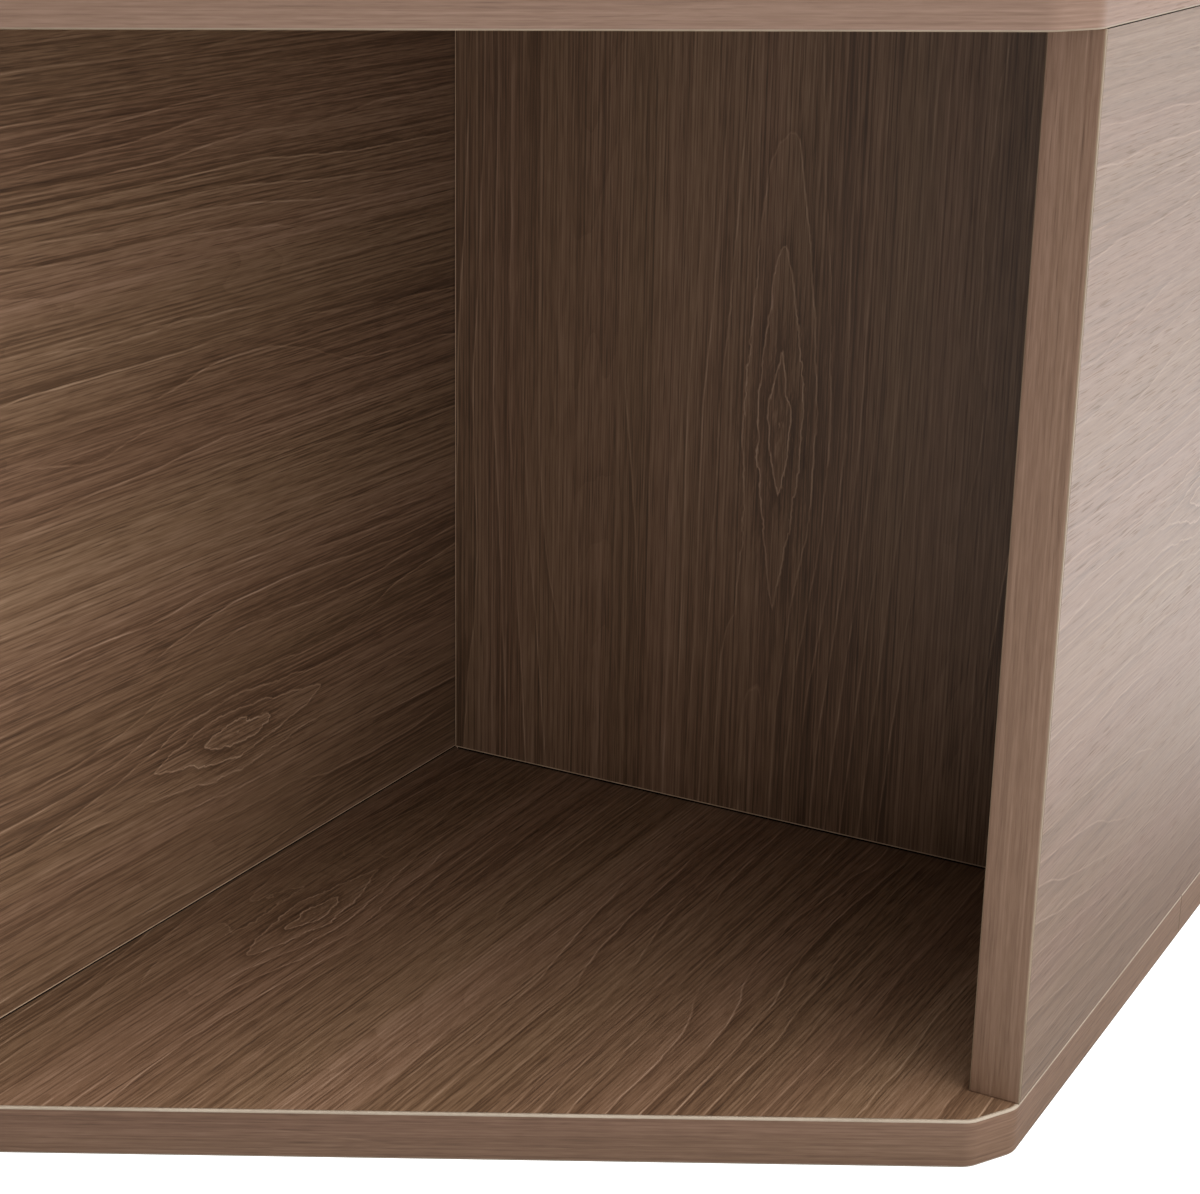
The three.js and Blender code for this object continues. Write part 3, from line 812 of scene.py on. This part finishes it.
def base_cutters():
    low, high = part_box("base_board")
    over = 2 * MM
    cutters = []
    for screw in nodes_named("base_screw_"):
        foot = centre(screw)
        profile = [
            (HEAD_BORE, -over),
            (HEAD_BORE, HEAD_BORE_DEPTH),
            (SHANK_BORE, HEAD_BORE_DEPTH),
            (SHANK_BORE, high.z - low.z + over),
        ]
        cutters.append(bore(profile, (foot.x, foot.y, low.z), (0, 0, 1)))
    for glide in nodes_named("glide_"):
        foot = centre(glide)
        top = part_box(glide)[1].z + 1 * MM
        cutters.append(straight_bore(SPIGOT_BORE, (foot.x, foot.y, low.z - over), (foot.x, foot.y, top)))
    return cutters


def top_cutters():
    low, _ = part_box("top_board")
    over = 2 * MM
    cutters = []
    for bolt in nodes_named("cam_bolt_"):
        x, y, _ = centre(bolt)
        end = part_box(bolt)[1].z + CLEARANCE
        cutters.append(straight_bore(THREAD_BORE, (x, y, low.z - over), (x, y, end)))
    return cutters


# ---------------------------------------------------------------- fittings


def cam_lock(node):
    """A die-cast drum with a raised rim, a cross recess, and the pocket that takes its bolt."""
    face, out = cam_face(node)
    rim, dish = 0.8 * MM, 0.35 * MM
    drum = lathe(
        [
            (0, -CAM_LENGTH),
            (CAM_RADIUS - 0.5 * MM, -CAM_LENGTH),
            (CAM_RADIUS, -CAM_LENGTH + 0.5 * MM),
            (CAM_RADIUS, -0.35 * MM),
            (CAM_RADIUS - 0.1 * MM, -0.1 * MM),
            (CAM_RADIUS - 0.35 * MM, 0),
            (CAM_RADIUS - rim, 0),
            (CAM_RADIUS - rim - dish, -dish),
            (0, -dish),
        ]
    )
    cutters = []
    blade, thick, depth = 6.4 * MM, 1.3 * MM, 2.4 * MM
    pocket, neck = 7.6 * MM, 4.6 * MM
    boxes = [
        ((blade, thick, 2 * depth), (0, 0, 0)),
        ((thick, blade, 2 * depth), (0, 0, 0)),
        ((pocket, pocket, pocket), (0, 0, -BOARD / 2)),
        ((neck, 2 * CAM_RADIUS, neck), (0, CAM_RADIUS, -BOARD / 2)),
    ]
    for size, place in boxes:
        bm = bmesh.new()
        bmesh.ops.create_cube(bm, size=1)
        bmesh.ops.scale(bm, vec=size, verts=bm.verts)
        bmesh.ops.translate(bm, vec=place, verts=bm.verts)
        cutters.append(bm)
    mesh = cut(mesh_from(drum, node), cutters)
    up = Vector((0, 0, 1))
    facing = Matrix((up.cross(out), up, out)).transposed().to_4x4()
    mesh.transform(Matrix.Translation(face) @ facing)
    mesh.shade_smooth()
    mesh.set_sharp_from_angle(angle=math.radians(40))
    add_piece(f"{node}_finished", mesh, [node], [ZINC])


def base_screw(node):
    """A countersunk confirmat-type screw with a hexagon socket and a coarse thread."""
    low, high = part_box(node)
    foot = centre(node)
    head, shank, core, crest = 4.9 * MM, 3.4 * MM, 2.1 * MM, 2.85 * MM
    neck, start, tip = 3.4 * MM, 17.2 * MM, high.z - low.z
    pitch = 3.2 * MM
    profile = [(0, 0), (head - 0.25 * MM, 0), (head, 0.25 * MM), (head, 0.8 * MM), (shank, neck)]
    profile += [(shank, start - 0.8 * MM), (core, start)]
    z = start
    while z + pitch < tip - 4 * MM:
        profile += [(core, z + 0.3 * pitch), (crest, z + 0.55 * pitch), (core, z + 0.8 * pitch)]
        z += pitch
    profile += [(core, tip - 3.5 * MM), (0.8 * MM, tip - 0.3 * MM), (0, tip)]
    socket = lathe([(0, -1 * MM), (2.3 * MM, -1 * MM), (2.3 * MM, 3 * MM), (0, 3.6 * MM)], facets=6)
    mesh = cut(mesh_from(lathe(profile), node), [socket])
    mesh.transform(Matrix.Translation((foot.x, foot.y, low.z)))
    mesh.shade_smooth()
    mesh.set_sharp_from_angle(angle=math.radians(40))
    add_piece(f"{node}_finished", mesh, [node], [ZINC])


def glide(node):
    """A moulded foot with a rounded rim, two wear rings underneath, and a barbed spigot."""
    low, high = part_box(node)
    foot = centre(node)
    radius, plate = (high.x - low.x) / 2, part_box("base_board")[0].z
    spigot, top = 2.4 * MM, high.z
    profile = [(0, 0.5 * MM), (3 * MM, 0.5 * MM), (3.6 * MM, 0), (6.8 * MM, 0), (7.3 * MM, 0.35 * MM)]
    profile += [(8.1 * MM, 0.35 * MM), (8.6 * MM, 0), (radius - 2.2 * MM, 0)]
    for k in range(1, 7):
        angle = math.pi / 2 * k / 6
        profile.append((radius - 2.2 * MM + 2.2 * MM * math.sin(angle), 2.2 * MM * (1 - math.cos(angle))))
    profile += [(radius, plate - 0.3 * MM), (radius - 0.3 * MM, plate), (spigot - 0.4 * MM, plate)]
    z = plate + 1.5 * MM
    while z + 2.4 * MM < top - 1 * MM:
        profile += [(spigot - 0.4 * MM, z), (spigot, z + 0.2 * MM), (spigot - 0.4 * MM, z + 2 * MM)]
        z += 2.4 * MM
    profile += [(spigot - 0.4 * MM, top - 1 * MM), (spigot - 1.2 * MM, top), (0, top)]
    mesh = mesh_from(lathe(profile, facets=64), node)
    mesh.transform(Matrix.Translation((foot.x, foot.y, low.z)))
    mesh.shade_smooth()
    mesh.set_sharp_from_angle(angle=math.radians(40))
    add_piece(f"{node}_finished", mesh, [node], [NYLON])


# ---------------------------------------------------------------- the unit

slab("base_board", base_cutters(), [((0.10, -0.05), 41.0, 1), ((-0.19, 0.055), 12.0, 1)])
slab("top_board", top_cutters(), [((-0.05, 0.12), 57.0, 1), ((0.06, -0.09), 23.0, 1)])
uprights = {
    "long_divider": (
        ("y", "z", "x"),
        [((0.12, 0.24), 31.0, 1), ((-0.176, 0.086), 4.0, 1.25)],
        LAMINATE,
    ),
    "side_panel_right": (
        ("y", "z", "x"),
        [((0.02, 0.12), 66.0, 1), ((-0.02, 0.20), 71.0, 1)],
        OUTER_LAMINATE,
    ),
    "side_panel_left": (
        ("y", "z", "x"),
        [((-0.06, 0.26), 77.0, 1), ((0.05, 0.15), 83.0, 1)],
        OUTER_LAMINATE,
    ),
    "cross_divider_right": (
        ("z", "x", "y"),
        [((0.20, 0.168), 8.0, 1.7), ((0.16, 0.11), 92.0, 1.7)],
        LAMINATE,
    ),
    "cross_divider_left": (
        ("z", "x", "y"),
        [((0.24, -0.20), 96.0, 1.7), ((0.14, -0.12), 103.0, 1.7)],
        LAMINATE,
    ),
}
for node, (axes, sheets, decor) in uprights.items():
    upright(node, *axes, sheets, decor)

wrapped_band("base_edge_band", 201.0, BASE_BAND, PALE_CORE, BASE_ROUND)
wrapped_band("top_edge_band", 207.0, LIT_TOP_BAND, WARM_CORE, TOP_ROUND)
end_bands = sorted(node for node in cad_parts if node.endswith(("_front_band", "_back_band")))
for number, node in enumerate(end_bands):
    end_band(node, 211.0 + 6 * number)

for node in nodes_named("cam_lock_"):
    cam_lock(node)
for node in nodes_named("base_screw_"):
    base_screw(node)
for node in nodes_named("glide_"):
    glide(node)
for prefix, material in (("cam_bolt_", ZINC), ("dowel_", BEECH)):
    for node in nodes_named(prefix):
        for material_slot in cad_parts[node].material_slots:
            material_slot.material = material

# ---------------------------------------------------------------- studio


# azimuth and elevation in degrees, tightness, strength
STUDIO_PANELS = [(0, 30, 4, 2.2), (0, 90, 8, 5.6), (-30, 0, 2, 0.9), (55, 20, 8, 0.85), (165, 25, 3, 0.8)]


def studio_floor():
    """The plain floor that the unit stands on."""
    bpy.ops.mesh.primitive_plane_add(size=60, location=(0, 0, 0))
    floor = bpy.context.object
    floor.name = "studio_floor"
    floor.data.materials.append(pale_floor("pale floor"))


def panel_light(t, sight, azimuth, elevation, tightness):
    """How strongly a soft panel, centred on a direction, shows in each direction of sight."""
    across = math.cos(math.radians(elevation))
    centre_line = (
        across * math.cos(math.radians(azimuth)),
        across * math.sin(math.radians(azimuth)),
        math.sin(math.radians(elevation)),
    )
    dot = t.put("ShaderNodeVectorMath", {0: sight, 1: centre_line}, operation="DOT_PRODUCT")
    facing = t.math("MAXIMUM", dot.outputs["Value"], 0.0)
    return t.math("POWER", facing, tightness)


def white_studio(panels):
    """A dark studio with soft white panels round it, white to the camera like the floor."""
    world = bpy.data.worlds.new("white studio")
    bpy.context.scene.world = world
    world.use_nodes = True
    t = Tree(world.node_tree)
    sight = t.put("ShaderNodeTexCoord").outputs["Generated"]
    strengths = [
        t.times(panel_light(t, sight, azimuth, elevation, tightness), strength)
        for azimuth, elevation, tightness, strength in panels
    ]
    seen = t.times(t.put("ShaderNodeLightPath").outputs["Is Camera Ray"], FLOOR_GLOW)
    background = t.put("ShaderNodeBackground", {"Color": (1, 1, 1, 1), "Strength": t.add(seen, *strengths)})
    t.put("ShaderNodeOutputWorld", {"Surface": background.outputs[0]})


def photo_camera():
    """A short telephoto view from the front right, looking down into the front right compartment."""
    data = bpy.data.cameras.new("camera")
    data.sensor_width = 36
    data.lens = 72.716
    data.shift_x = 0.11693
    data.clip_start, data.clip_end = 0.05, 200
    camera = bpy.data.objects.new("camera", data)
    bpy.context.scene.collection.objects.link(camera)
    camera.location = (0.56866, -0.91165, 0.44678)
    camera.rotation_euler = (math.radians(90 - 18.233), 0, math.radians(31.6615))
    bpy.context.scene.camera = camera


studio_floor()
white_studio(STUDIO_PANELS)
photo_camera()
bpy.context.scene.view_settings.view_transform = "Standard"
